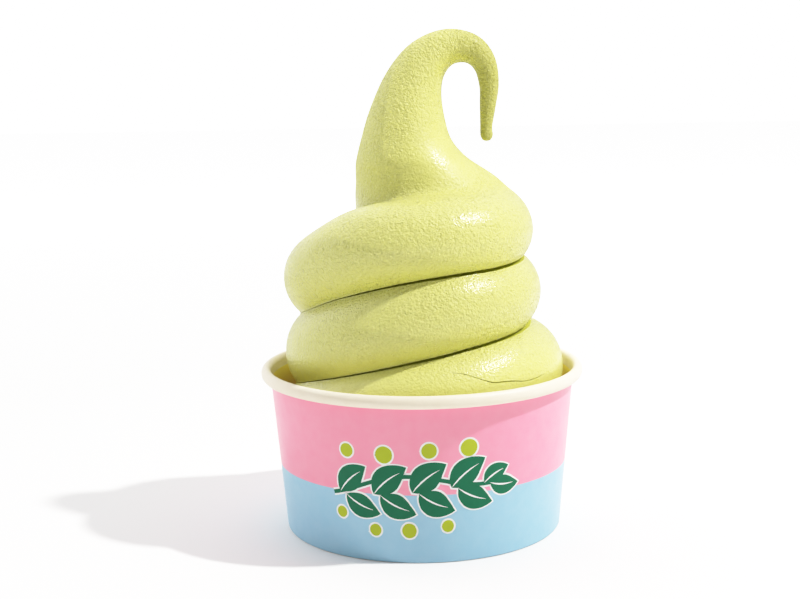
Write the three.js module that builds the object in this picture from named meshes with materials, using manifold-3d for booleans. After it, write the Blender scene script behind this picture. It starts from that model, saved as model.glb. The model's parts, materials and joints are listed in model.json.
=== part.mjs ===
// A paper cup of soft serve: a piped swirl with a hooked tip, standing in a squat paper tub.
// Millimetres, +Z up. The origin is on the table, on the cup's axis. The viewer stands at -Y.

import * as THREE from 'three';
import { mergeVertices } from 'three/addons/utils/BufferGeometryUtils.js';
import Module from 'manifold-3d';

// ---------------------------------------------------------------- driving dimensions

// the paper cup
const RIM_DIAMETER = 96;
const WALL_TOP_DIAMETER = 90.4;
const FOOT_DIAMETER = 82.4;
const CUP_HEIGHT = 48.8;
const PAPER = 0.5;
const BEAD_WIDE = 3.0;
const BEAD_TALL = 3.7;
const BEAD_TUCK = 0.3;
const CURL_FROM = -112;
const CURL_TO = 184;
const HEM_HEIGHT = 4.4;
const BASE_HEIGHT = 5.2;
const GAP = 0.3;

// the piped rope, counted in quarter turns: 0 is on the right of the first coil that shows,
// 1 behind, 2 on the left, 3 in front, and so on upwards
const ROPE = [
  { turn: -4.0, reach: 41.0, height: 26.5, wide: 13.5, tall: 13.6 },
  { turn: -3.0, reach: 40.8, height: 28.5, wide: 13.5, tall: 13.6 },
  { turn: -2.0, reach: 41.2, height: 33.8, wide: 14.0, tall: 13.8 },
  { turn: -1.0, reach: 43.9, height: 43.2, wide: 14.6, tall: 13.8 },
  { turn: -0.5, reach: 42.9, height: 47.4, wide: 13.9, tall: 13.8 },
  { turn: 0.0, reach: 42.2, height: 48.1, wide: 12.9, tall: 13.6 },
  { turn: 1.0, reach: 41.0, height: 47.9, wide: 13.4, tall: 13.6 },
  { turn: 2.0, reach: 40.6, height: 52.6, wide: 12.9, tall: 14.6 },
  { turn: 3.0, reach: 38.5, height: 65.8, wide: 15.0, tall: 14.6 },
  { turn: 3.5, reach: 37.3, height: 69.1, wide: 14.2, tall: 13.2 },
  { turn: 4.0, reach: 35.7, height: 70.8, wide: 13.4, tall: 12.8 },
  { turn: 5.0, reach: 36.8, height: 71.2, wide: 13.5, tall: 13.8 },
  { turn: 6.0, reach: 40.5, height: 74.8, wide: 14.5, tall: 14.1 },
  { turn: 6.5, reach: 37.4, height: 82.9, wide: 13.6, tall: 14.1 },
  { turn: 7.0, reach: 36.2, height: 87.2, wide: 14.4, tall: 13.0 },
  { turn: 8.0, reach: 33.4, height: 89.4, wide: 12.8, tall: 12.4 },
  { turn: 9.0, reach: 31.0, height: 94.0, wide: 12.0, tall: 12.6 },
  { turn: 9.6, reach: 23.0, height: 99.5, wide: 11.0, tall: 11.6 },
  { turn: 10.2, reach: 11.0, height: 102.0, wide: 9.0, tall: 9.0 },
];

// the drawn-up horn and its hook: where each section is, its half sizes, and how many
// degrees it has leaned over to the right
const HORN = [
  { x: 4.5, y: 3.0, z: 90.0, wide: 23.0, deep: 20.5, lean: 0 },
  { x: 4.5, y: 2.2, z: 97.0, wide: 23.6, deep: 20.8, lean: 0 },
  { x: 3.0, y: 1.4, z: 102.6, wide: 21.6, deep: 19.4, lean: 0 },
  { x: 0.4, y: 0.8, z: 106.4, wide: 19.0, deep: 17.6, lean: 0 },
  { x: -1.9, y: 0.3, z: 109.6, wide: 16.4, deep: 16.8, lean: 0 },
  { x: -3.3, y: 0.0, z: 115.2, wide: 13.4, deep: 14.2, lean: 3 },
  { x: -3.0, y: 0.0, z: 122.0, wide: 11.3, deep: 12.0, lean: 10 },
  { x: -0.9, y: 0.2, z: 131.2, wide: 8.8, deep: 9.2, lean: 26 },
  { x: 3.1, y: 0.4, z: 138.0, wide: 6.9, deep: 7.3, lean: 50 },
  { x: 9.4, y: 0.5, z: 141.7, wide: 5.3, deep: 5.6, lean: 84 },
  { x: 15.8, y: 0.5, z: 141.0, wide: 4.3, deep: 4.5, lean: 118 },
  { x: 19.6, y: 0.5, z: 137.0, wide: 3.5, deep: 3.7, lean: 150 },
  { x: 20.9, y: 0.5, z: 130.8, wide: 2.9, deep: 3.0, lean: 176 },
  { x: 20.5, y: 0.5, z: 124.8, wide: 2.4, deep: 2.5, lean: 184 },
  { x: 20.0, y: 0.5, z: 118.6, wide: 1.8, deep: 1.9, lean: 182 },
  { x: 20.1, y: 0.5, z: 116.3, wide: 1.9, deep: 2.0, lean: 178 },
  { x: 20.2, y: 0.5, z: 114.9, wide: 1.4, deep: 1.5, lean: 176 },
  { x: 20.2, y: 0.5, z: 114.4, wide: 0.7, deep: 0.7, lean: 176 },
];

// the soft serve that fills the cup under the coils
const FILL_HEIGHT = 33;
const FILL_EDGE = 5;

// the middle that the rope winds round: its outline above the fill, as distances from the axis and heights
const CORE = [[27, 45], [26, 62], [24, 82], [16, 95]];

// fineness
const CUP_SIDES = 64;
const BEAD_STEPS = 12;
const ROPE_SIDES = 28;
const ROPE_STEPS = 8;
const HORN_SIDES = 26;
const HORN_STEPS = 4;
const FILL_EDGE_STEPS = 3;

// ---------------------------------------------------------------- sizes worked out from them

const beadRadius = RIM_DIAMETER / 2 - BEAD_WIDE / 2;
const beadHeight = CUP_HEIGHT - BEAD_TALL / 2;
const footRadius = FOOT_DIAMETER / 2;
const wallTopRadius = WALL_TOP_DIAMETER / 2;
const wallTopHeight = beadHeight - BEAD_TALL / 2 + BEAD_TUCK;
const wallTaper = (wallTopRadius - footRadius) / wallTopHeight;
const outerWall = (z) => footRadius + wallTaper * z;
const innerWall = (z) => outerWall(z) - PAPER;

// ---------------------------------------------------------------- solids from sections

const wasm = await Module();
wasm.setup();

// a smooth run of rows through the given rows, with `steps` rows to each span
function through(rows, steps) {
  const first = rows[0];
  const last = rows[rows.length - 1];
  const before = first.map((v, i) => 2 * v - rows[1][i]);
  const after = last.map((v, i) => 2 * v - rows[rows.length - 2][i]);
  const knots = [before, ...rows, after];
  const out = [];
  for (let span = 1; span < knots.length - 2; span++) {
    const [a, b, c, d] = knots.slice(span - 1, span + 3);
    for (let step = 0; step < steps; step++) {
      const t = step / steps;
      out.push(b.map((v, i) => 0.5 * (2 * v + (c[i] - a[i]) * t
        + (2 * a[i] - 5 * v + 4 * c[i] - d[i]) * t * t
        + (3 * v - a[i] - 3 * c[i] + d[i]) * t * t * t)));
    }
  }
  out.push(last);
  return out;
}

// an oval ring of points round `centre`, in the plane of the directions `across` and `along`
function ovalRing(centre, across, along, wide, tall, sides) {
  return Array.from({ length: sides }, (_, i) => {
    const angle = 2 * Math.PI * i / sides;
    return centre.clone()
      .addScaledVector(across, wide * Math.cos(angle))
      .addScaledVector(along, tall * Math.sin(angle));
  });
}

// a closed skin over a run of rings, with a flat end at each end
function loft(rings) {
  const sides = rings[0].length;
  const points = rings.flat();
  const faces = [];
  for (let r = 0; r + 1 < rings.length; r++) {
    for (let s = 0; s < sides; s++) {
      const a = r * sides + s;
      const b = r * sides + (s + 1) % sides;
      faces.push(a, b, b + sides, a, b + sides, a + sides);
    }
  }
  const end = (rings.length - 1) * sides;
  for (let s = 1; s + 1 < sides; s++) {
    faces.push(0, s + 1, s);
    faces.push(end, end + s, end + s + 1);
  }
  const geometry = new THREE.BufferGeometry().setFromPoints(points);
  geometry.setIndex(faces);
  return geometry;
}

function volume(geometry) {
  const p = geometry.attributes.position;
  const [a, b, c] = [new THREE.Vector3(), new THREE.Vector3(), new THREE.Vector3()];
  let sum = 0;
  for (let i = 0; i < geometry.index.count; i += 3) {
    a.fromBufferAttribute(p, geometry.index.getX(i));
    b.fromBufferAttribute(p, geometry.index.getX(i + 1));
    c.fromBufferAttribute(p, geometry.index.getX(i + 2));
    sum += a.dot(b.cross(c)) / 6;
  }
  return sum;
}

function solid(source) {
  const geometry = source.clone();
  geometry.deleteAttribute('normal');
  geometry.deleteAttribute('uv');
  const merged = mergeVertices(geometry, 1e-4);
  const index = Uint32Array.from(merged.index.array);
  if (volume(merged) < 0) {
    for (let i = 0; i < index.length; i += 3) {
      [index[i + 1], index[i + 2]] = [index[i + 2], index[i + 1]];
    }
  }
  const vertProperties = Float32Array.from(merged.attributes.position.array);
  return new wasm.Manifold(new wasm.Mesh({ numProp: 3, vertProperties, triVerts: index }));
}

function geometryOf(manifold) {
  const mesh = manifold.getMesh();
  const geometry = new THREE.BufferGeometry();
  geometry.setAttribute('position', new THREE.BufferAttribute(mesh.vertProperties, 3));
  geometry.setIndex(new THREE.BufferAttribute(mesh.triVerts, 1));
  geometry.computeVertexNormals();
  return geometry;
}

// a profile of [radius, height] points turned round the cup's axis
function turned(profile, sides) {
  const geometry = new THREE.LatheGeometry(profile.map(([r, z]) => new THREE.Vector2(r, z)), sides);
  return geometry.rotateX(Math.PI / 2);
}

// ---------------------------------------------------------------- the paper cup

// the side wall: one strip of paper, its foot folded in and up, its top rolled outwards
function cupWall() {
  const skirtRoom = 2 * GAP + PAPER;
  const hemInner = (z) => innerWall(z) - skirtRoom - PAPER;
  const profile = [
    [footRadius, 0],
    [wallTopRadius, wallTopHeight],
  ];
  for (let i = 0; i <= BEAD_STEPS; i++) {
    const angle = THREE.MathUtils.degToRad(CURL_FROM + (CURL_TO - CURL_FROM) * i / BEAD_STEPS);
    profile.push([
      beadRadius + BEAD_WIDE / 2 * Math.cos(angle),
      beadHeight + BEAD_TALL / 2 * Math.sin(angle),
    ]);
  }
  profile.push([innerWall(wallTopHeight), wallTopHeight]);
  profile.push([innerWall(PAPER), PAPER]);
  profile.push([innerWall(PAPER) - skirtRoom, PAPER]);
  profile.push([hemInner(HEM_HEIGHT) + PAPER, HEM_HEIGHT]);
  profile.push([hemInner(HEM_HEIGHT), HEM_HEIGHT]);
  profile.push([hemInner(0), 0]);
  profile.push([footRadius, 0]);
  return turned(profile, CUP_SIDES);
}

// the bottom: a paper disc with its edge turned down into the folded foot
function cupBase() {
  const top = BASE_HEIGHT + PAPER;
  const skirtFoot = PAPER + GAP;
  const edge = (z) => innerWall(z) - GAP;
  const profile = [
    [0, BASE_HEIGHT],
    [edge(BASE_HEIGHT) - PAPER, BASE_HEIGHT],
    [edge(skirtFoot) - PAPER, skirtFoot],
    [edge(skirtFoot), skirtFoot],
    [edge(top), top],
    [0, top],
  ];
  return turned(profile, CUP_SIDES);
}

// ---------------------------------------------------------------- the soft serve

const UP = new THREE.Vector3(0, 0, 1);

// the sections of the rope from one turn to another, each standing on a line from the axis
function ropeRings() {
  const rows = ROPE.map((s) => [s.turn, s.reach, s.height, s.wide, s.tall]);
  return through(rows, ROPE_STEPS).map(([turn, reach, height, wide, tall]) => {
    const angle = turn * Math.PI / 2;
    const outward = new THREE.Vector3(Math.cos(angle), Math.sin(angle), 0);
    const centre = outward.clone().multiplyScalar(reach - wide).setZ(height);
    return ovalRing(centre, outward, UP, wide, tall, ROPE_SIDES);
  });
}

function hornRings() {
  const rows = HORN.map((s) => [s.x, s.y, s.z, s.wide, s.deep, s.lean]);
  return through(rows, HORN_STEPS).map(([x, y, z, wide, deep, lean]) => {
    const angle = THREE.MathUtils.degToRad(lean);
    const across = new THREE.Vector3(Math.cos(angle), 0, -Math.sin(angle));
    const back = new THREE.Vector3(0, 1, 0);
    return ovalRing(new THREE.Vector3(x, y, z), across, back, wide, deep, HORN_SIDES);
  });
}

// the soft serve that lies under the coils, down to the bottom of the cup
function fill() {
  const bottom = BASE_HEIGHT + PAPER + GAP;
  const edge = (z) => innerWall(z) - GAP;
  const shoulder = FILL_HEIGHT - FILL_EDGE;
  const profile = [[0, bottom], [edge(bottom), bottom]];
  for (let i = 0; i <= FILL_EDGE_STEPS; i++) {
    const angle = Math.PI / 2 * i / FILL_EDGE_STEPS;
    profile.push([
      edge(shoulder) - FILL_EDGE * (1 - Math.cos(angle)),
      shoulder + FILL_EDGE * Math.sin(angle),
    ]);
  }
  profile.push(...CORE);
  profile.push([0, CORE[CORE.length - 1][1]]);
  return turned(profile, CUP_SIDES);
}

function softServe() {
  const rope = ropeRings();
  const stretch = 2 * ROPE_STEPS;
  let body = solid(fill()).add(solid(loft(hornRings())));
  for (let start = 0; start + 1 < rope.length; start += stretch) {
    body = body.add(solid(loft(rope.slice(start, start + stretch + 2))));
  }
  return geometryOf(body);
}

// ---------------------------------------------------------------- the object

function part(name, geometry, color, roughness) {
  const material = new THREE.MeshStandardMaterial({ color, roughness, metalness: 0 });
  const mesh = new THREE.Mesh(geometry, material);
  mesh.name = name;
  return mesh;
}

const group = new THREE.Group();
group.add(part('cup_wall', cupWall(), '#f2a9c4', 0.6));
group.add(part('cup_base', cupBase(), '#efe9da', 0.7));
group.add(part('soft_serve', softServe(), '#dfe08f', 0.45));

export default group;
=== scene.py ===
import json
from math import cos, pi, radians, sin

import bpy
from mathutils import Matrix, Vector

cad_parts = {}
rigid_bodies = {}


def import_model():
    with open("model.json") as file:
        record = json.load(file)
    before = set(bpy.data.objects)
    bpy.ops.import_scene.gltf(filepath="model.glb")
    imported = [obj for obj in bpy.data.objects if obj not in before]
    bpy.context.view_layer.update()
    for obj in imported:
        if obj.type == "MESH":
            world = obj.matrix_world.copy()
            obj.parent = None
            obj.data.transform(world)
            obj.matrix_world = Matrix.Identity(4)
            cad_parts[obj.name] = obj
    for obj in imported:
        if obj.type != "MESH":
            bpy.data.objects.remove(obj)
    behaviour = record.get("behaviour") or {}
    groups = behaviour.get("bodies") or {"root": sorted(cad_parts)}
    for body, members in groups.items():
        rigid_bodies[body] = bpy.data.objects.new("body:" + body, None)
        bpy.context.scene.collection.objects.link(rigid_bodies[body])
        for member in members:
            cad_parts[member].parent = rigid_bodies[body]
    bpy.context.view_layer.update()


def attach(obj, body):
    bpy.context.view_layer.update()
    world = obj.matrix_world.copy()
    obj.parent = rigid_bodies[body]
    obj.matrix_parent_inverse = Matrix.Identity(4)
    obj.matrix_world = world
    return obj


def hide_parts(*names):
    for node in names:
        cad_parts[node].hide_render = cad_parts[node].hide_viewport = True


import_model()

# ------------------------------------------------------------------ sizes
# Lengths are in metres and angles in radians, except where a comment says mm or degrees.

MM = 0.001
ORIGIN = (0, 0, 0)
SMOOTH_ANGLE = radians(40)

# the paper cup
RIM_RADIUS = 48.0 * MM
WALL_TOP_RADIUS = 45.2 * MM
FOOT_RADIUS = 41.2 * MM
CUP_HEIGHT = 48.8 * MM
PAPER = 0.5 * MM
BEAD_WIDE = 3.0 * MM
BEAD_TALL = 3.7 * MM
BEAD_TUCK = 0.3 * MM
HEM_HEIGHT = 4.4 * MM
BASE_HEIGHT = 5.2 * MM
BASE_BEND_WIDE = 0.8 * MM
BASE_BEND_TALL = 0.5 * MM
GAP = 0.3 * MM
FOOT_ROUNDING = 0.6 * MM

BEAD_RADIUS = RIM_RADIUS - BEAD_WIDE / 2
BEAD_HEIGHT = CUP_HEIGHT - BEAD_TALL / 2
WALL_TOP = BEAD_HEIGHT - BEAD_TALL / 2 + BEAD_TUCK
WALL_TAPER = (WALL_TOP_RADIUS - FOOT_RADIUS) / WALL_TOP

# the bead's section, in degrees round its middle, from where it leaves the outside of the wall
BEAD_FROM = -112
BEAD_SWEEP = 296

# how finely the cup is drawn
FOOT_STEPS = 4
WALL_STEPS = 6
BEAD_STEPS = 24
WALL_SIDES = 180
BASE_SIDES = 120

# the piped rope at every quarter turn: how far it reaches from the axis, its height and its half sizes in mm;
# turn 0 is on the right of the first coil that shows, 1 behind, 2 on the left, 3 in front, and so on upwards,
# so each place is ONE_COIL turns below the same place on the next coil
ROPE = [
    (-4.0, 41.0, 26.5, 13.5, 13.6),
    (-3.0, 40.8, 28.5, 13.5, 13.6),
    (-2.0, 41.2, 33.8, 14.0, 13.8),
    (-1.0, 43.9, 43.2, 14.6, 13.8),
    (-0.5, 42.9, 47.4, 13.9, 13.8),
    (0.0, 42.2, 48.1, 12.9, 13.6),
    (1.0, 41.0, 47.9, 13.4, 13.6),
    (2.0, 40.6, 52.6, 12.9, 14.6),
    (3.0, 38.5, 65.8, 15.0, 14.6),
    (3.5, 37.3, 69.1, 14.2, 13.2),
    (4.0, 35.7, 70.8, 13.4, 12.8),
    (5.0, 36.8, 71.2, 13.5, 13.8),
    (6.0, 40.5, 74.8, 14.5, 14.1),
    (6.5, 37.4, 82.9, 13.6, 14.1),
    (7.0, 36.2, 87.2, 14.4, 13.0),
    (8.0, 33.4, 89.4, 12.8, 12.4),
    (9.0, 31.0, 94.0, 12.0, 12.6),
    (9.6, 23.0, 99.5, 11.0, 11.6),
    (10.2, 11.0, 102.0, 9.0, 9.0),
]
ONE_COIL = 4
ROPE_STEPS = 14
ROPE_SIDES = 72

# the drawn-up horn and its hook: place, half sizes and lean to the right, in mm and degrees
HORN = [
    (4.5, 3.0, 90.0, 23.0, 20.5, 0),
    (4.5, 2.2, 97.0, 23.6, 20.8, 0),
    (3.0, 1.4, 102.6, 21.6, 19.4, 0),
    (0.4, 0.8, 106.4, 19.0, 17.6, 0),
    (-1.9, 0.3, 109.6, 16.4, 16.8, 0),
    (-3.3, 0.0, 115.2, 13.4, 14.2, 3),
    (-3.0, 0.0, 122.0, 11.3, 12.0, 10),
    (-0.9, 0.2, 131.2, 8.8, 9.2, 26),
    (3.1, 0.4, 138.0, 6.9, 7.3, 50),
    (9.4, 0.5, 141.7, 5.3, 5.6, 84),
    (15.8, 0.5, 141.0, 4.3, 4.5, 118),
    (19.6, 0.5, 137.0, 3.5, 3.7, 150),
    (20.9, 0.5, 130.8, 2.9, 3.0, 176),
    (20.5, 0.5, 124.8, 2.4, 2.5, 184),
    (20.0, 0.5, 118.6, 1.8, 1.9, 182),
    (20.1, 0.5, 116.3, 1.9, 2.0, 178),
    (20.2, 0.5, 114.9, 1.4, 1.5, 176),
    (20.2, 0.5, 114.4, 0.7, 0.7, 176),
]
HORN_STEPS = 7
HORN_SIDES = 64

# the fill under the coils, and the middle that the rope winds round: distances from the axis and heights, mm
FILL_HEIGHT = 33.0
FILL_EDGE = 5.0
CORE = [(27, 45), (26, 62), (24, 82), (16, 95)]
FILL_SIDES = 96

# the fused surface, and the plain skirt that takes its place in the cup
VOXEL = 0.45 * MM
FUSED_FROM = 30 * MM
SKIRT_RING = FILL_HEIGHT * MM - 6 * MM
SERVE_TRIANGLES = 180000

# the gap between coils: the turns it runs between and fades over, how deep it cuts in, and its half height on
# the left and right in mm; it is widest SEAM_WIDEST before the right, towards the front
SEAM_FROM = -2.6
SEAM_TO = 6.1
SEAM_FADE_IN = 0.6
SEAM_FADE_OUT = 0.8
SEAM_THINNEST = 0.05
SEAM_DEPTH_LEFT = 0.7
SEAM_DEPTH_RIGHT = 2.6
SEAM_LEFT = 0.06
SEAM_RIGHT = 0.62
SEAM_WIDEST = 0.5
SEAM_PARTS = 210
COIL_STEPS = 24
BLADE_SIDES = 4

# a fold in the front of the first coil, above the rim: turns, heights and half widths of the crease, in mm
FOLD = [
    (-0.88, 53.6, 0.04), (-0.82, 53.0, 0.10), (-0.76, 51.6, 0.12), (-0.70, 50.3, 0.22), (-0.66, 50.2, 0.26),
    (-0.60, 49.9, 0.16), (-0.54, 49.3, 0.14), (-0.47, 49.3, 0.20), (-0.40, 49.8, 0.04),
]
FOLD_DEPTH = 0.55
FOLD_STEPS = 8

# where the surface melts together, in mm: each pair is a place with no melting and a place with all of it.
# Round the horn's foot the melting fades out over FOOT_REACH above and below FOOT_HEIGHT.
MELT_STEPS = 300
FOOT_HEIGHT = 101
FOOT_REACH = 12
FOOT_ACROSS = (-12, 2)
HOLLOW_OUTSIDE = (30, 25)
HOLLOW_ACROSS = (4, -4)
HOLLOW_FRONT = (-14, -6)
HOLLOW_BOTTOM = (74, 78)
HOLLOW_TOP = (101, 96)

# the printed sprig, drawn flat before it goes round the wall, with the ink's lifts off the wall
PRINT_EDGE_HEIGHT = 20.1 * MM
PRINT_EDGE_BLUR = 0.04 * MM
PRINT_RADIUS = 45.6 * MM
PRINT_TURN = radians(-3)
STEM_LENGTH = 54 * MM
STEM_START = (-26.5 * MM, 0, 19.0 * MM)
STEM_HEADING = radians(11)
STEM_WAVE = radians(2.6)
STEM_PHASE = 0.5
STEM_PARTS = 40
STALK_WIDTH = 1.2 * MM
STALK_EDGE_WIDTH = 2.2 * MM
EDGE_MARGIN = 0.5 * MM
VEIN_WIDTH = 0.42 * MM
VEIN_SHARE = 0.8
LEAF_CURL = radians(-1.8)
LEAF_SKEW = 0.85
LEAF_FULLNESS = 0.9
LEAF_TIP = 0.02 * MM
LEAF_PARTS = 16
BUD_PARTS = 16
BUD_END = 0.01
SLIVER = 0.01 * MM
INK_BODY = 0.2 * MM
EDGE_LIFT = 0.03 * MM
STALK_LIFT = 0.045 * MM
LOWER_LEAF_LIFT = 0.050 * MM
UPPER_LEAF_LIFT = 0.055 * MM
TOP_LIFT = 0.07 * MM

# each leaf's place along and up the wall, heading, length and width, the upper and lower leaves in turn, and
# each bud's place and radius, in mm and degrees
LEAVES = [
    (-24, 19.6, 58, 12, 7.2), (-22, 19.0, -40, 12, 6.8),
    (-13, 19.8, 55, 13, 7.8), (-11, 19.6, -42, 12, 7.2),
    (-1.5, 20.6, 55, 13, 8.0), (0.5, 20.4, -42, 12, 7.6),
    (10, 21.8, 54, 13, 7.6), (12, 21.6, -40, 12, 7.0),
    (20, 22.4, 44, 9, 5.6), (22, 22.2, -22, 10, 5.6),
]
BUDS = [
    (-21.0, 32.0, 2.0), (-9.5, 31.5, 2.5), (3.5, 32.8, 2.2), (15.0, 33.2, 2.5),
    (-24.0, 13.4, 1.7), (-13.0, 9.2, 1.8), (-2.6, 9.4, 2.2), (9.0, 10.6, 1.8),
]

# ------------------------------------------------------------------ colours, finishes and light

# the soft serve's colours, as linear red, green and blue
ICE_DARK = (0.535, 0.531, 0.130)
ICE_PALE = (0.655, 0.652, 0.190)
# painted shade: the coils' undersides are deeper yellow, as they look in their shade
ICE_UNDERSIDE_SHADE = (0.590, 0.580, 0.085)
# painted light: the low coil just above the rim is paler, as lit by light off the white rim
ICE_LOW_COIL_LIGHT = (0.680, 0.675, 0.165)
# painted shade: the thin hook is darker, as it looks in its shade
ICE_HOOK_SHADE = (0.420, 0.415, 0.085)
# painted shade: dark in the creases
ICE_CREASE_SHADE = (0.300, 0.285, 0.012)
# painted shade: the darker, deeper yellow of the ice inside the gaps between coils
ICE_GAP_SHADE_DARK = (0.400, 0.410, 0.030)
ICE_GAP_SHADE_PALE = (0.500, 0.510, 0.050)

# where the painted light and shade go: the normal's Z for the painted shade underneath, the low coil's height
# for its painted light, and the hook's place and the creases' pointiness for painted shade
UNDERSIDE_SHADE_FACING = (-0.05, -0.75)
LOW_COIL_LIGHT_HEIGHT = (57 * MM, 49 * MM)
LOW_COIL_LIGHT_SHARE = 0.8
HOOK_SHADE_ACROSS = (7 * MM, 17 * MM)
HOOK_SHADE_HEIGHT = (108 * MM, 113 * MM)
CREASE_SHADE_POINTINESS = (0.47, 0.36)

# the wet spot in front of the horn's foot, how far from it and how high up the ice is wet or rough, and how
# wet or rough it is there
WET_SPOT = (5.6 * MM, -14.3 * MM, 110.0 * MM)
SPOT_WET = (1.5 * MM, 4.0 * MM)
SPOT_SMOOTH = (5 * MM, 15 * MM)
WET_BELOW = (98 * MM, 103 * MM)
ROUGH_ABOVE = (50 * MM, 60 * MM)
WET = 0.6
DRY = 0.06
LOW_ROUGHNESS = 0.4
SPOT_ROUGHNESS = 0.3

# the scale of the ice's specks, and how much of the noise's range its specks and the paper's mottle use
ICE_SPECKS = 1900
SPECK_RANGE = (0.25, 0.75)
MOTTLE_RANGE = (0.3, 0.7)
MOTTLE_DETAIL = 4
MOTTLE_ROUGH = 0.6

# bumps laid over one another: the noise's scale and detail, and the depth
ICE_BUMPS = ((300, 1, 0.30 * MM), (1150, 1, 0.6 * MM), (2000, 1, 0.4 * MM))
ICE_FILM_BUMPS = ((1150, 1, 0.12 * MM), (2000, 1, 0.10 * MM))
ICE_GAP_BUMPS = ((1150, 1, 0.1 * MM),)
PRINTED_BUMPS = ((2600, 3, 0.012 * MM), (90, 2, 0.10 * MM))
PAPER_BUMPS = ((2400, 3, 0.012 * MM),)
INK_BUMPS = ((2600, 3, 0.012 * MM),)

# the cup's colours, and the heights where painted light and shade go on its inside: yellow for the light the
# ice bounces onto it, brown for the shade deeper down
PRINT_BLUE = (0.265, 0.505, 0.670)
PRINT_PINK = (0.920, 0.250, 0.365)
PRINT_FIBRE = (0.95, 0.93, 0.92)
CREAM_DARK = (0.780, 0.690, 0.530)
CREAM_PALE = (0.820, 0.730, 0.580)
CREAM_INSIDE = (0.800, 0.710, 0.550)
BOUNCE_LIGHT_YELLOW = (0.930, 0.770, 0.180)
DEEP_SHADE_BROWN = (0.600, 0.380, 0.140)
BOUNCE_LIGHT_HEIGHT = (47.2 * MM, 45.0 * MM)
DEEP_SHADE_HEIGHT = (45.0 * MM, 38.5 * MM)
WHITE_INK = ((0.86, 0.86, 0.84), (0.82, 0.82, 0.80))
GREEN_INK = ((0.002, 0.118, 0.052), (0.003, 0.130, 0.058))
LIME_INK = ((0.400, 0.470, 0.022), (0.370, 0.440, 0.018))

# the camera: 9 degrees above level and tipped by one degree; its target and sensor are in mm, and its focal
# length and the picture's width in pixels
CAMERA_AWAY = 425.0 * MM
CAMERA_RISE = 0.1597
CAMERA_ROLL = -0.0168
CAMERA_TARGET = (-6.127, 0, 67.72)
PICTURE_WIDTH = 800
FOCAL_PIXELS = 1423.3
SENSOR_WIDTH = 36

# the lamp, up on the right, and what it points at
LAMP_PLACE = (0.785, -0.169, 1.092)
LAMP_AIM = (0, 0, 0.07)
LAMP_ACROSS = 0.056
LAMP_POWER = 22.8
LAMP_COLOUR = (1.0, 0.985, 0.955)

# the room's light by direction: two directions, then the greys or the strengths there; and the backdrop that
# shows behind the floor
ROOM_FRONT_TO_BACK = (-0.6, 0.6)
ROOM_FRONT_GREY = (0.14, 0.14, 0.14)
ROOM_BACK_GREY = (1.46, 1.46, 1.46)
ROOM_LEVEL_TO_UP = (0.0, 1.0, 0.75, 1.4)
ROOM_RIGHT_TO_LEFT = (0.3, -0.9, 0.95, 1.85)
BACKDROP_STRENGTH = 1.76

# the film's brightest light, and its curve as pairs of light and tone
FILM_WHITE = 1.75
FILM_CURVE = ((0.45, 0.45), (0.75, 0.70), (1.0, 0.84), (1.35, 0.95))

# the floor glows faintly far out, so that it stays white to the picture's edge
FLOOR_SIZE = 6
FLOOR_GREY = 0.82
FLOOR_GLOW_DISTANCE = (0.25, 1.0)
FLOOR_GLOW = 0.6


# ------------------------------------------------------------------ modelling helpers


def deselect():
    bpy.ops.object.select_all(action="DESELECT")


def choose(*objects):
    """Selects just these objects and makes the first one active."""
    deselect()
    for o in objects:
        o.select_set(True)
    bpy.context.view_layer.objects.active = objects[0]


def edit_all(obj):
    """Opens the mesh with all of it selected."""
    choose(obj)
    bpy.ops.object.mode_set(mode="EDIT")
    bpy.ops.mesh.select_all(action="SELECT")


def leave_edit():
    bpy.ops.object.mode_set(mode="OBJECT")


def edit_points(obj, indices):
    """Opens the mesh with just these points selected."""
    edit_all(obj)
    bpy.ops.mesh.select_all(action="DESELECT")
    leave_edit()
    for index in indices:
        obj.data.vertices[index].select = True
    bpy.ops.object.mode_set(mode="EDIT")


def move(offset):
    bpy.ops.transform.translate(value=offset)


def rotate(angle, axis, centre=ORIGIN):
    bpy.ops.transform.rotate(value=angle, orient_axis=axis, center_override=centre)


def stretch(ratio, centre=ORIGIN):
    bpy.ops.transform.resize(value=ratio, center_override=centre)


def extrude(offset):
    bpy.ops.mesh.extrude_region_move(TRANSFORM_OT_translate={"value": offset})


def face_outwards():
    bpy.ops.mesh.normals_make_consistent(inside=False)


def joined(name, pieces):
    """The pieces as one object with this name."""
    choose(*pieces)
    if len(pieces) > 1:
        bpy.ops.object.join()
    pieces[0].name = name
    return pieces[0]


def modify(obj, kind, **settings):
    """Gives the object a modifier with these settings and applies it."""
    choose(obj)
    modifier = obj.modifiers.new(kind.lower(), kind)
    for key, value in settings.items():
        setattr(modifier, key, value)
    bpy.ops.object.modifier_apply(modifier=modifier.name)


def through(rows, steps):
    """A smooth run of rows through the given rows, with `steps` rows to each span."""
    before = tuple(2 * a - b for a, b in zip(rows[0], rows[1]))
    after = tuple(2 * a - b for a, b in zip(rows[-1], rows[-2]))
    knots = [before, *rows, after]
    out = []
    for span in range(1, len(knots) - 2):
        for step in range(steps):
            t = step / steps
            out.append(tuple(
                0.5 * (2 * b + (c - a) * t
                       + (2 * a - 5 * b + 4 * c - d) * t ** 2
                       + (3 * b - a - 3 * c + d) * t ** 3)
                for a, b, c, d in zip(*knots[span - 1:span + 3])))
    out.append(rows[-1])
    return out


def part_way(value, start, end):
    """How far the value is on its way from `start` to `end`, from 0 to 1."""
    return min(max((value - start) / (end - start), 0), 1)


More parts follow.
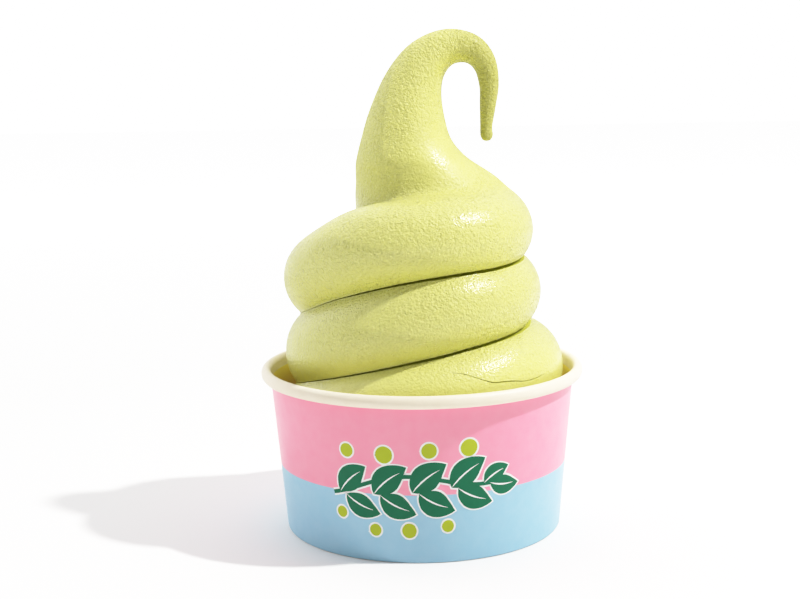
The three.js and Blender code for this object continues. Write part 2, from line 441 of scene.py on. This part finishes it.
def turned(name, profile, steps, closed):
    """A shape turned round the cup's axis from (radius, height) points, drawn point by point and spun."""
    deselect()
    bpy.ops.mesh.primitive_plane_add(size=MM)
    obj = bpy.context.object
    obj.name = name
    edit_all(obj)
    bpy.ops.mesh.merge(type="CENTER")
    here = Vector((profile[0][0], 0, profile[0][1]))
    move(here)
    points = profile[1:] + ([profile[0]] if closed else [])
    for radius, height in points:
        there = Vector((radius, 0, height))
        extrude(there - here)
        here = there
    bpy.ops.mesh.select_all(action="SELECT")
    bpy.ops.mesh.spin(steps=steps, angle=2 * pi, center=ORIGIN, axis=(0, 0, 1))
    bpy.ops.mesh.select_all(action="SELECT")
    bpy.ops.mesh.remove_doubles(threshold=0.001 * MM)
    face_outwards()
    leave_edit()
    return obj


# ------------------------------------------------------------------ material helpers


def finish_material(name):
    """A new material with its node tree, its shader and the Object coordinates that its patterns read."""
    material = bpy.data.materials.new(name)
    material.use_nodes = True
    tree = material.node_tree
    coords = tree.nodes.new("ShaderNodeTexCoord").outputs["Object"]
    return material, tree, tree.nodes["Principled BSDF"], coords


def finish(tree, shader, values):
    """Sets the shader's sockets: another node's socket is linked in, and anything else is the plain value."""
    for name, value in values.items():
        if isinstance(value, bpy.types.NodeSocket):
            tree.links.new(value, shader.inputs[name])
        else:
            shader.inputs[name].default_value = value


def axes(tree, vector):
    """The vector's X, Y and Z sockets."""
    made = tree.nodes.new("ShaderNodeSeparateXYZ")
    tree.links.new(vector, made.inputs[0])
    return made.outputs


def noise(tree, coords, scale, detail, rough=0.5):
    made = tree.nodes.new("ShaderNodeTexNoise")
    finish(tree, made, {"Vector": coords, "Scale": scale, "Detail": detail, "Roughness": rough})
    return made.outputs["Fac"]


def bumps(tree, coords, layers, strength=1.0):
    """Bumps from noise, laid over one another."""
    normal = None
    for scale, detail, depth in layers:
        made = tree.nodes.new("ShaderNodeBump")
        height = noise(tree, coords, scale, detail)
        finish(tree, made, {"Height": height, "Distance": depth, "Strength": strength})
        if normal is not None:
            tree.links.new(normal, made.inputs["Normal"])
        normal = made.outputs["Normal"]
    return normal


def mixed(tree, factor, first, second):
    """A colour between two colours or sockets."""
    made = tree.nodes.new("ShaderNodeMix")
    made.data_type = "RGBA"
    tree.links.new(factor, made.inputs["Factor"])
    colours = [s for s in made.inputs if s.type == "RGBA"]
    for socket, value in zip(colours, (first, second)):
        if isinstance(value, tuple):
            socket.default_value = (*value, 1)
        else:
            tree.links.new(value, socket)
    return [s for s in made.outputs if s.type == "RGBA"][0]


def combined(tree, operation, first, second):
    """Two numbers joined by MULTIPLY, MAXIMUM or another such operation."""
    made = tree.nodes.new("ShaderNodeMath")
    made.operation = operation
    tree.links.new(first, made.inputs[0])
    tree.links.new(second, made.inputs[1])
    return made.outputs[0]


def ranged(tree, value, low, high, to_low=0.0, to_high=1.0):
    """The value's place between `low` and `high`, carried over to between `to_low` and `to_high`."""
    made = tree.nodes.new("ShaderNodeMapRange")
    made.clamp = True
    finish(tree, made, {
        "Value": value,
        "From Min": low,
        "From Max": high,
        "To Min": to_low,
        "To Max": to_high,
    })
    return made.outputs["Result"]


def mottling(tree, coords, scale, strongest=1.0):
    """The soft blotches of paper and ink, from 0 to `strongest`."""
    blotches = noise(tree, coords, scale, MOTTLE_DETAIL, MOTTLE_ROUGH)
    return ranged(tree, blotches, *MOTTLE_RANGE, 0.0, strongest)


# ------------------------------------------------------------------ materials


def soft_serve_material():
    """Grainy pistachio ice with a wet sheen, drier on the horn. Its colour carries painted shade, deeper
    yellow underneath and darker on the thin hook and in the creases, and painted light, paler on the low coil
    by the rim.
    """
    material, tree, shader, coords = finish_material("pistachio_soft_serve")
    material.cycles.use_bump_map_correction = False
    surface = tree.nodes.new("ShaderNodeNewGeometry")
    facing = axes(tree, surface.outputs["Normal"])
    place = axes(tree, coords)
    spot = tree.nodes.new("ShaderNodeVectorMath")
    spot.operation = "DISTANCE"
    spot.inputs[1].default_value = WET_SPOT
    tree.links.new(coords, spot.inputs[0])
    from_spot = spot.outputs["Value"]

    specks = ranged(tree, noise(tree, coords, ICE_SPECKS, 1), *SPECK_RANGE)
    body = mixed(tree, specks, ICE_DARK, ICE_PALE)
    # painted shade: deeper yellow where the surface faces down
    body = mixed(tree, ranged(tree, facing["Z"], *UNDERSIDE_SHADE_FACING), body, ICE_UNDERSIDE_SHADE)
    # painted light: paler on the low coil just above the rim
    low_coil_light = ranged(tree, place["Z"], *LOW_COIL_LIGHT_HEIGHT, 0.0, LOW_COIL_LIGHT_SHARE)
    body = mixed(tree, low_coil_light, body, ICE_LOW_COIL_LIGHT)
    # painted shade: darker on the hook
    across, up = ranged(tree, place["X"], *HOOK_SHADE_ACROSS), ranged(tree, place["Z"], *HOOK_SHADE_HEIGHT)
    body = mixed(tree, combined(tree, "MULTIPLY", across, up), body, ICE_HOOK_SHADE)
    # painted shade: dark where the pointiness shows a crease
    crease = ranged(tree, surface.outputs["Pointiness"], *CREASE_SHADE_POINTINESS)

    rough_up = ranged(tree, place["Z"], *ROUGH_ABOVE, LOW_ROUGHNESS, 1.0)
    rough_out = ranged(tree, from_spot, *SPOT_SMOOTH, SPOT_ROUGHNESS, 1.0)
    roughed = combined(tree, "MULTIPLY", rough_up, rough_out)
    wet_low = ranged(tree, place["Z"], *WET_BELOW, WET, DRY)
    wet_spot = ranged(tree, from_spot, *SPOT_WET, WET, 0.0)
    finish(tree, shader, {
        "Base Color": mixed(tree, crease, body, ICE_CREASE_SHADE),
        "Normal": bumps(tree, coords, ICE_BUMPS, roughed),
        "Roughness": 0.5,
        "IOR": 1.45,
        "Coat Normal": bumps(tree, coords, ICE_FILM_BUMPS),
        "Coat Weight": combined(tree, "MAXIMUM", wet_low, wet_spot),
        "Coat Roughness": 0.2,
        "Coat IOR": 1.4,
        "Subsurface Weight": 0.3,
        "Subsurface Radius": (1.0, 0.95, 0.35),
        "Subsurface Scale": 1.6 * MM,
    })
    return material


def gap_shade_material():
    """The soft serve inside the narrow gaps between coils, with painted shade: darker and deeper yellow, for
    the shade and the light that bounces in there.
    """
    material, tree, shader, coords = finish_material("shaded_soft_serve")
    specks = ranged(tree, noise(tree, coords, ICE_SPECKS, 1), *MOTTLE_RANGE)
    finish(tree, shader, {
        "Base Color": mixed(tree, specks, ICE_GAP_SHADE_DARK, ICE_GAP_SHADE_PALE),
        "Normal": bumps(tree, coords, ICE_GAP_BUMPS),
        "Roughness": 0.7,
        "IOR": 1.45,
    })
    return material


def printed_paper_material():
    """Coated paper printed blue below and pink above, with a faint mottle."""
    material, tree, shader, coords = finish_material("coated_printed_paper")
    height = axes(tree, coords)["Z"]
    upper = ranged(tree, height, PRINT_EDGE_HEIGHT - PRINT_EDGE_BLUR, PRINT_EDGE_HEIGHT + PRINT_EDGE_BLUR)
    ink = mixed(tree, upper, PRINT_BLUE, PRINT_PINK)
    mottle = mottling(tree, coords, 260, 0.05)
    finish(tree, shader, {
        "Base Color": mixed(tree, mottle, ink, PRINT_FIBRE),
        "Normal": bumps(tree, coords, PRINTED_BUMPS),
        "Roughness": 0.5,
        "IOR": 1.45,
        "Coat Weight": 0.3,
        "Coat Roughness": 0.16,
        "Coat IOR": 1.4,
    })
    return material


def bare_paper_material():
    """Cream paper, as on the bead, the foot and the bottom."""
    material, tree, shader, coords = finish_material("cream_coated_paper")
    mottle = mottling(tree, coords, 240)
    finish(tree, shader, {
        "Base Color": mixed(tree, mottle, CREAM_DARK, CREAM_PALE),
        "Normal": bumps(tree, coords, PAPER_BUMPS),
        "Roughness": 0.45,
        "IOR": 1.45,
    })
    return material


def inner_paper_shade_material():
    """The wall's inside: clean cream below the rim, then painted light, yellow as lit by the ice, and painted
    shade, browner further down.
    """
    material, tree, shader, coords = finish_material("inner_paper_painted_shade")
    height = axes(tree, coords)["Z"]
    # painted light: yellow as lit by light off the ice; painted shade: browner further down
    yellow = mixed(tree, ranged(tree, height, *BOUNCE_LIGHT_HEIGHT), CREAM_INSIDE, BOUNCE_LIGHT_YELLOW)
    deep = ranged(tree, height, *DEEP_SHADE_HEIGHT)
    finish(tree, shader, {
        "Base Color": mixed(tree, deep, yellow, DEEP_SHADE_BROWN),
        "Normal": bumps(tree, coords, PAPER_BUMPS),
        "Roughness": 0.4,
        "IOR": 1.45,
    })
    return material


def ink_material(name, colour, deeper):
    """Dull printing ink, between two near colours."""
    material, tree, shader, coords = finish_material(name)
    mottle = mottling(tree, coords, 300)
    finish(tree, shader, {
        "Base Color": mixed(tree, mottle, colour, deeper),
        "Normal": bumps(tree, coords, INK_BUMPS),
        "Roughness": 0.45,
        "Specular IOR Level": 0.2,
    })
    return material


# ------------------------------------------------------------------ the paper cup


def outer_wall(height):
    """The wall's outer radius at a height."""
    return FOOT_RADIUS + WALL_TAPER * height


def inner_wall(height):
    return outer_wall(height) - PAPER


def cup_wall(printed, bare, inner_shade):
    """The side wall, its top rolled outwards into a bead and its foot folded in round the bottom's skirt."""
    skirt_room = 2 * GAP + PAPER
    hem = outer_wall(0) - 2 * PAPER - skirt_room
    profile = []
    for step in range(FOOT_STEPS + 1):
        angle = -pi / 2 + pi / 2 * step / FOOT_STEPS
        profile.append((
            outer_wall(FOOT_ROUNDING) - FOOT_ROUNDING * (1 - cos(angle)),
            FOOT_ROUNDING * (1 + sin(angle)),
        ))
    for part in range(1, WALL_STEPS + 1):
        height = FOOT_ROUNDING + (WALL_TOP - FOOT_ROUNDING) * part / WALL_STEPS
        profile.append((outer_wall(height), height))
    for step in range(BEAD_STEPS + 1):
        angle = radians(BEAD_FROM + BEAD_SWEEP * step / BEAD_STEPS)
        profile.append((BEAD_RADIUS + BEAD_WIDE / 2 * cos(angle), BEAD_HEIGHT + BEAD_TALL / 2 * sin(angle)))
    for part in range(WALL_STEPS + 1):
        height = WALL_TOP + (PAPER - WALL_TOP) * part / WALL_STEPS
        profile.append((inner_wall(height), height))
    profile.append((inner_wall(PAPER) - skirt_room, PAPER))
    profile.append((hem + PAPER + WALL_TAPER * HEM_HEIGHT, HEM_HEIGHT))
    profile.append((hem + WALL_TAPER * HEM_HEIGHT, HEM_HEIGHT))
    profile.append((hem, 0))
    obj = turned("paper_cup_wall", profile, WALL_SIDES, closed=True)
    for material in (printed, bare, inner_shade):
        obj.data.materials.append(material)
    for face in obj.data.polygons:
        centre = face.center
        depth = outer_wall(centre.z) - Vector(centre[:2]).length
        outside = depth < PAPER / 4 and centre.z < WALL_TOP
        inside = depth > PAPER * 0.9 and centre.z > BASE_HEIGHT
        face.material_index = 0 if outside else 2 if inside else 1
    return obj


def cup_base(bare):
    """The bottom disc, its edge turned down into the foot."""
    top = BASE_HEIGHT + PAPER
    skirt_foot = PAPER + GAP
    edge, foot_edge, top_edge = [inner_wall(h) - GAP for h in (BASE_HEIGHT, skirt_foot, top)]
    profile = [
        (0, BASE_HEIGHT),
        (edge / 2, BASE_HEIGHT),
        (edge - PAPER - BASE_BEND_WIDE, BASE_HEIGHT),
        (edge - PAPER, BASE_HEIGHT - BASE_BEND_TALL),
        (foot_edge - PAPER, skirt_foot),
        (foot_edge, skirt_foot),
        (top_edge, top - BASE_BEND_TALL),
        (top_edge - BASE_BEND_WIDE, top),
        (edge / 2, top),
        (0, top),
    ]
    obj = turned("paper_cup_bottom", profile, BASE_SIDES, closed=False)
    obj.data.materials.append(bare)
    return obj


# ------------------------------------------------------------------ the printed sprig


def along(heading):
    """The direction of a heading in the plane y = 0."""
    return Vector((cos(heading), 0, sin(heading)))


def strip(name, place, heading, stations):
    """A flat strip in the plane y = 0. A station is a step forward, the turn before it and the half width."""
    deselect()
    half = stations[0][2]
    bpy.ops.mesh.primitive_plane_add(size=2)
    obj = bpy.context.object
    obj.name = name
    edit_all(obj)
    rotate(pi / 2, "X")
    stretch((SLIVER, 1, half))
    rotate(heading, "Y")
    move(place)
    leave_edit()
    forward = along(heading)
    centre = Vector(place) + forward * SLIVER
    edit_points(obj, [v.index for v in obj.data.vertices if (v.co - Vector(place)).dot(forward) > 0])
    for step, turn, new_half in stations[1:]:
        heading += turn
        forward = along(heading)
        extrude(forward * step)
        centre = centre + forward * step
        rotate(turn, "Y", centre)
        stretch((new_half / half,) * 3, centre)
        half = new_half
    leave_edit()
    return obj


def leaf(name, place, heading, length, width, margin=0.0):
    """A pointed leaf that curves a little; `margin` grows it all round."""
    whole = length + 2 * margin
    curl = LEAF_CURL if heading > 0 else -LEAF_CURL
    stations = []
    for part in range(LEAF_PARTS + 1):
        swell = sin(pi * (part / LEAF_PARTS) ** LEAF_SKEW) ** LEAF_FULLNESS
        half = (width / 2 + margin) * swell + LEAF_TIP
        stations.append((whole / LEAF_PARTS if part else 0, curl if part else 0, half))
    return strip(name, Vector(place) - along(heading) * margin, heading, stations)


def bud(name, place, radius):
    """A round dot drawn as a strip whose width follows the circle."""
    stations = []
    for part in range(BUD_PARTS + 1):
        reached = -cos(pi * part / BUD_PARTS)
        before = -cos(pi * (part - 1) / BUD_PARTS) if part else reached
        stations.append((radius * (reached - before), 0, radius * max(sin(pi * part / BUD_PARTS), BUD_END)))
    return strip(name, Vector(place) - Vector((radius, 0, 0)), 0, stations)


def stem(name, width):
    """The long wavy stalk that carries the leaves."""
    stations = [(0, 0, width / 2)]
    for part in range(STEM_PARTS):
        turn = STEM_WAVE * cos(2 * pi * part / STEM_PARTS + STEM_PHASE)
        stations.append((STEM_LENGTH / STEM_PARTS, turn, width / 2))
    return strip(name, STEM_START, STEM_HEADING, stations)


def printed_on(wall, name, pieces, lift, ink):
    """Joins flat strips, bends them round the cup and lays them on the wall, `lift` proud of it."""
    obj = joined(name, pieces)
    edit_all(obj)
    bpy.ops.mesh.subdivide(number_cuts=3)
    leave_edit()
    width = max(v.co.x for v in obj.data.vertices) - min(v.co.x for v in obj.data.vertices)
    modify(obj, "SIMPLE_DEFORM", deform_method="BEND", deform_axis="Z", angle=width / PRINT_RADIUS)
    edit_all(obj)
    move((0, -PRINT_RADIUS, 0))
    rotate(-PRINT_TURN, "Z")
    leave_edit()
    modify(obj, "SHRINKWRAP", target=wall, wrap_method="NEAREST_SURFACEPOINT", wrap_mode="ABOVE_SURFACE",
           offset=lift)
    edit_all(obj)
    face_outwards()
    leave_edit()
    modify(obj, "SOLIDIFY", thickness=INK_BODY, offset=-1)
    obj.data.materials.append(ink)
    return obj


def printed_sprig(wall):
    """A generic leafy sprig with round buds: white edge, green leaves, lime buds and white veins."""
    white = ink_material("white_ink", *WHITE_INK)
    green = ink_material("green_ink", *GREEN_INK)
    lime = ink_material("lime_ink", *LIME_INK)
    edges, stalk = [stem("edge", STALK_EDGE_WIDTH)], stem("stalk", STALK_WIDTH)
    leaves, veins, buds = [], [], []
    for x, z, degrees, length, width in LEAVES:
        place = (x * MM, 0, z * MM)
        heading = radians(degrees)
        edges.append(leaf("edge", place, heading, length * MM, width * MM, EDGE_MARGIN))
        leaves.append(leaf("leaf", place, heading, length * MM, width * MM))
        veins.append(leaf("vein", place, heading, length * MM * VEIN_SHARE, VEIN_WIDTH))
    for x, z, radius in BUDS:
        edges.append(bud("edge", (x * MM, 0, z * MM), radius * MM + EDGE_MARGIN))
        buds.append(bud("bud", (x * MM, 0, z * MM), radius * MM))
    # the leaves and the stalk overlap, so each has its own lift
    upper = printed_on(wall, "print_green_leaves", leaves[0::2], UPPER_LEAF_LIFT, green)
    lower = printed_on(wall, "lower_leaves", leaves[1::2], LOWER_LEAF_LIFT, green)
    stalk = printed_on(wall, "stalk", [stalk], STALK_LIFT, green)
    return [
        printed_on(wall, "print_white_edge", edges, EDGE_LIFT, white),
        joined("print_green_leaves", [upper, lower, stalk]),
        printed_on(wall, "print_white_veins", veins, TOP_LIFT, white),
        printed_on(wall, "print_lime_buds", buds, TOP_LIFT, lime),
    ]


# ------------------------------------------------------------------ the soft serve


def drawn_out(name, sides, first_ring, rings, axis):
    """A solid rope drawn out of a round face. A ring is its centre, turn about `axis` and half sizes, mm."""
    deselect()
    bpy.ops.mesh.primitive_circle_add(vertices=sides, radius=1, fill_type="NGON")
    obj = bpy.context.object
    obj.name = name
    edit_all(obj)
    centre, turn, size = rings[0]
    first_ring(centre, turn, size)
    for new_centre, new_turn, new_size in rings[1:]:
        extrude(new_centre - centre)
        rotate(turn - new_turn, axis, new_centre)
        stretch([new / old for old, new in zip(size, new_size)], new_centre)
        centre, turn, size = new_centre, new_turn, new_size
    leave_edit()
    return obj


def stand_up(centre, turn, size):
    """Puts the first ring of a rope in an upright plane through the cup's axis."""
    rotate(pi / 2, "X")
    stretch((size[0] * MM, 1, size[2] * MM))
    rotate(-turn, "Z")
    move(centre)


def lay_flat(centre, turn, size):
    """Puts the horn's first ring level."""
    stretch((size[0] * MM, size[1] * MM, 1))
    move(centre)


def round_the_axis(turn, reach, height):
    """The angle of a turn, and the point there at this distance from the axis and height, both in mm."""
    angle = turn * pi / 2
    return angle, Vector((reach * cos(angle), reach * sin(angle), height)) * MM


def piped_rope():
    """The rope that winds up round the axis."""
    rings = []
    for turn, reach, height, wide, tall in through(ROPE, ROPE_STEPS):
        angle = turn * pi / 2
        out = (reach - wide) * MM
        rings.append((Vector((out * cos(angle), out * sin(angle), height * MM)), angle, (wide, wide, tall)))
    return drawn_out("rope", ROPE_SIDES, stand_up, rings, "Z")


def drawn_horn():
    """The horn and its hook, drawn up out of the top coil."""
    rings = []
    for x, y, z, wide, deep, lean in through(HORN, HORN_STEPS):
        rings.append((Vector((x, y, z)) * MM, radians(lean), (wide, deep, wide)))
    return drawn_out("horn", HORN_SIDES, lay_flat, rings, "Y")


def fill_under_coils():
    """The ice in the cup up to its rounded edge, and the core that the rope winds round."""
    bottom = BASE_HEIGHT + PAPER + GAP
    shoulder = (FILL_HEIGHT - FILL_EDGE) * MM
    edge = FILL_EDGE * MM
    profile = [(0, bottom), (inner_wall(bottom) - GAP, bottom)]
    for step in range(4):
        angle = pi / 6 * step
        profile.append((inner_wall(shoulder) - GAP - edge * (1 - cos(angle)), shoulder + edge * sin(angle)))
    profile += [(r * MM, z * MM) for r, z in CORE]
    profile.append((0, CORE[-1][1] * MM))
    return turned("fill", profile, FILL_SIDES, closed=False)


def keep_outside(obj):
    """Deletes any closed hollow that fusing left inside: only what is joined to the highest point stays."""
    highest = max(obj.data.vertices, key=lambda v: v.co.z)
    edit_points(obj, [highest.index])
    bpy.ops.mesh.select_mode(type="VERT")
    bpy.ops.mesh.select_linked()
    bpy.ops.mesh.select_all(action="INVERT")
    bpy.ops.mesh.delete(type="VERT")
    leave_edit()


def horn_foot(x, y, z):
    """Round the horn's foot, all on the right and none on the left, where its crease with the coil stays."""
    return (part_way(x, *FOOT_ACROSS) * part_way(abs(z - FOOT_HEIGHT), FOOT_REACH, 0)) ** 0.5


def hollow_behind(x, y, z):
    """The hollow on the left and behind, between the horn's foot and the coil below."""
    if x > HOLLOW_ACROSS[0] or y < HOLLOW_FRONT[0] or z < HOLLOW_BOTTOM[0] or z > HOLLOW_TOP[0]:
        return 0
    level = part_way((x * x + y * y) ** 0.5, *HOLLOW_OUTSIDE) * part_way(x, *HOLLOW_ACROSS)
    return level * part_way(y, *HOLLOW_FRONT) * part_way(z, *HOLLOW_BOTTOM) * part_way(z, *HOLLOW_TOP)


def melt(obj, place):
    """Softens the surface where `place`, a function of the position in mm, says so."""
    group = obj.vertex_groups.new(name="melt")
    for vertex in obj.data.vertices:
        amount = place(*(vertex.co / MM))
        if amount:
            group.add([vertex.index], amount, "REPLACE")
    modify(obj, "SMOOTH", factor=0.5, iterations=MELT_STEPS, vertex_group="melt")
    obj.vertex_groups.clear()


def plain_below(obj):
    """Swaps the hidden part in the cup for a plain skirt and floor, which follow the cup's inside."""
    edit_all(obj)
    bpy.ops.mesh.bisect(plane_co=(0, 0, FUSED_FROM), plane_no=(0, 0, 1), clear_inner=True)
    here = FUSED_FROM
    radius = inner_wall(here) - GAP
    for height in (SKIRT_RING, BASE_HEIGHT + PAPER + GAP):
        new_radius = inner_wall(height) - GAP
        extrude((0, 0, height - here))
        stretch((new_radius / radius, new_radius / radius, 1), (0, 0, height))
        here, radius = height, new_radius
    bpy.ops.mesh.edge_face_add()
    bpy.ops.mesh.select_all(action="SELECT")
    face_outwards()
    leave_edit()


def resting_line(lower, upper):
    """Where the outsides of two stacked coils meet: the distance from the axis and the height, in mm."""
    _, reach, height, wide, tall = lower
    _, upper_reach, upper_height, upper_wide, upper_tall = upper
    for half_degrees in range(181):
        angle = radians(half_degrees / 2)
        r = reach - wide + wide * cos(angle)
        z = height + tall * sin(angle)
        if ((r - upper_reach + upper_wide) / upper_wide) ** 2 + ((z - upper_height) / upper_tall) ** 2 < 1:
            break
    return r, z


def coil_at(turn, coils):
    """The rope's row at any turn, between the two nearest of a dense run of rows."""
    after = next(i for i, c in enumerate(coils) if c[0] >= turn)
    low, high = coils[after - 1], coils[after]
    share = (turn - low[0]) / (high[0] - low[0])
    return tuple(a + (b - a) * share for a, b in zip(low, high))


def seam_blade():
    """A thin ribbon along the line where each coil rests on the one below, to cut the gap between them."""
    coils = through(ROPE, COIL_STEPS)
    rings = []
    for part in range(SEAM_PARTS + 1):
        turn = SEAM_FROM + (SEAM_TO - SEAM_FROM) * part / SEAM_PARTS
        r, z = resting_line(coil_at(turn, coils), coil_at(turn + ONE_COIL, coils))
        angle, place = round_the_axis(turn, r, z)
        fade = min(1, (turn - SEAM_FROM) / SEAM_FADE_IN, (SEAM_TO - turn) / SEAM_FADE_OUT)
        rightward = 0.5 + 0.5 * cos(angle + SEAM_WIDEST)
        half = (SEAM_LEFT + (SEAM_RIGHT - SEAM_LEFT) * rightward) * max(fade, SEAM_THINNEST)
        deep = SEAM_DEPTH_LEFT + (SEAM_DEPTH_RIGHT - SEAM_DEPTH_LEFT) * rightward
        rings.append((place, angle, (deep, deep, half)))
    return drawn_out("seam_blade", BLADE_SIDES, stand_up, rings, "Z")


def fold_blade():
    """A short shallow ribbon that creases the front of the first coil."""
    coils = through(ROPE, COIL_STEPS)
    rings = []
    for turn, height, half in through(FOLD, FOLD_STEPS):
        _, reach, middle, wide, tall = coil_at(turn, coils)
        r = reach - wide + wide * (1 - ((height - middle) / tall) ** 2) ** 0.5
        angle, place = round_the_axis(turn, r, height)
        rings.append((place, angle, (FOLD_DEPTH, FOLD_DEPTH, half)))
    return drawn_out("fold_blade", BLADE_SIDES, stand_up, rings, "Z")


def soft_serve(material, gap):
    """The whole swirl: its parts fused into one skin, melted together in places, and cut with its gaps."""
    obj = joined("piped_soft_serve", [piped_rope(), drawn_horn(), fill_under_coils()])
    edit_all(obj)
    face_outwards()
    leave_edit()
    modify(obj, "REMESH", mode="VOXEL", voxel_size=VOXEL)
    keep_outside(obj)
    edit_all(obj)
    bpy.ops.mesh.vertices_smooth(factor=0.5, repeat=1)
    leave_edit()
    melt(obj, horn_foot)
    melt(obj, hollow_behind)
    plain_below(obj)
    triangles = sum(len(f.vertices) - 2 for f in obj.data.polygons)
    modify(obj, "DECIMATE", ratio=SERVE_TRIANGLES / triangles)
    obj.data.materials.append(material)
    # the faces that the seam blade cuts take the gap's painted shade
    for blade, inside in ((seam_blade(), gap), (fold_blade(), material)):
        blade.data.materials.append(inside)
        modify(obj, "BOOLEAN", operation="DIFFERENCE", solver="MANIFOLD", material_mode="TRANSFER",
               object=blade)
        bpy.data.objects.remove(blade)
    return obj


# ------------------------------------------------------------------ camera, light and floor


def camera():
    """The photograph's viewpoint."""
    back = Vector((0, -cos(CAMERA_RISE), sin(CAMERA_RISE)))
    right = Vector((1, 0, 0))
    up = back.cross(right)
    across = right * cos(CAMERA_ROLL) + up * sin(CAMERA_ROLL)
    upright = up * cos(CAMERA_ROLL) - right * sin(CAMERA_ROLL)
    place = Matrix((across, upright, back)).transposed().to_4x4()
    place.translation = Vector(CAMERA_TARGET) * MM + back * CAMERA_AWAY
    data = bpy.data.cameras.new("camera")
    data.sensor_width = SENSOR_WIDTH
    data.lens = SENSOR_WIDTH * FOCAL_PIXELS / PICTURE_WIDTH
    data.clip_start = 0.01
    data.clip_end = 50
    obj = bpy.data.objects.new("camera", data)
    obj.matrix_world = place
    bpy.context.scene.collection.objects.link(obj)
    bpy.context.scene.camera = obj


def lamp():
    """The small bright lamp."""
    data = bpy.data.lights.new("key", "AREA")
    data.shape = "DISK"
    data.size = LAMP_ACROSS
    data.energy = LAMP_POWER
    data.color = LAMP_COLOUR
    obj = bpy.data.objects.new("key", data)
    obj.location = LAMP_PLACE
    obj.rotation_euler = (Vector(LAMP_PLACE) - Vector(LAMP_AIM)).to_track_quat("Z", "Y").to_euler()
    bpy.context.scene.collection.objects.link(obj)


def room():
    """A soft white room that is dim in front and bright above, and looks plain white to the camera."""
    world = bpy.data.worlds.new("white_room")
    world.use_nodes = True
    tree = world.node_tree
    direction = axes(tree, tree.nodes.new("ShaderNodeTexCoord").outputs["Generated"])
    towards_back = ranged(tree, direction["Y"], *ROOM_FRONT_TO_BACK)
    above = ranged(tree, direction["Z"], *ROOM_LEVEL_TO_UP)
    towards_left = ranged(tree, direction["X"], *ROOM_RIGHT_TO_LEFT)
    lit = tree.nodes["Background"]
    finish(tree, lit, {
        "Color": mixed(tree, towards_back, ROOM_FRONT_GREY, ROOM_BACK_GREY),
        "Strength": combined(tree, "MULTIPLY", above, towards_left),
    })
    backdrop = tree.nodes.new("ShaderNodeBackground")
    finish(tree, backdrop, {"Color": (1, 1, 1, 1), "Strength": BACKDROP_STRENGTH})
    seen = tree.nodes.new("ShaderNodeMixShader")
    tree.links.new(tree.nodes.new("ShaderNodeLightPath").outputs["Is Camera Ray"], seen.inputs["Fac"])
    tree.links.new(lit.outputs["Background"], seen.inputs[1])
    tree.links.new(backdrop.outputs["Background"], seen.inputs[2])
    tree.links.new(seen.outputs["Shader"], tree.nodes["World Output"].inputs["Surface"])
    bpy.context.scene.world = world


def film():
    """Rolls the brightest tones off gently, as the photograph does, so bright colour keeps its detail."""
    view = bpy.context.scene.view_settings
    view.view_transform = "Standard"
    view.use_curve_mapping = True
    mapping = view.curve_mapping
    mapping.white_level = (FILM_WHITE, FILM_WHITE, FILM_WHITE)
    all_channels = mapping.curves[3]
    for light, tone in FILM_CURVE:
        all_channels.points.new(light / FILM_WHITE, tone)
    mapping.update()


def floor():
    """The plain pale floor."""
    deselect()
    bpy.ops.mesh.primitive_plane_add(size=FLOOR_SIZE)
    obj = bpy.context.object
    obj.name = "floor"
    material, tree, shader, coords = finish_material("white_floor")
    away = tree.nodes.new("ShaderNodeVectorMath")
    away.operation = "LENGTH"
    tree.links.new(coords, away.inputs[0])
    finish(tree, shader, {
        "Base Color": (FLOOR_GREY, FLOOR_GREY, FLOOR_GREY, 1),
        "Roughness": 0.9,
        "Emission Color": (1, 1, 1, 1),
        "Emission Strength": ranged(tree, away.outputs["Value"], *FLOOR_GLOW_DISTANCE, 0.0, FLOOR_GLOW),
    })
    obj.data.materials.append(material)


# ------------------------------------------------------------------ putting it together

camera()
lamp()
room()
film()
floor()

printed = printed_paper_material()
bare = bare_paper_material()

wall = cup_wall(printed, bare, inner_paper_shade_material())
base = cup_base(bare)
prints = printed_sprig(wall)
serve = soft_serve(soft_serve_material(), gap_shade_material())

for piece, cad_node, slot in (
    (wall, "cup_wall", "printed_paper"),
    (base, "cup_base", "plain_paper"),
    (serve, "soft_serve", "soft_serve"),
):
    choose(piece)
    bpy.ops.object.shade_smooth_by_angle(angle=SMOOTH_ANGLE)
    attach(piece, "root")
    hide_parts(cad_node)

for piece in prints:
    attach(piece, "root")
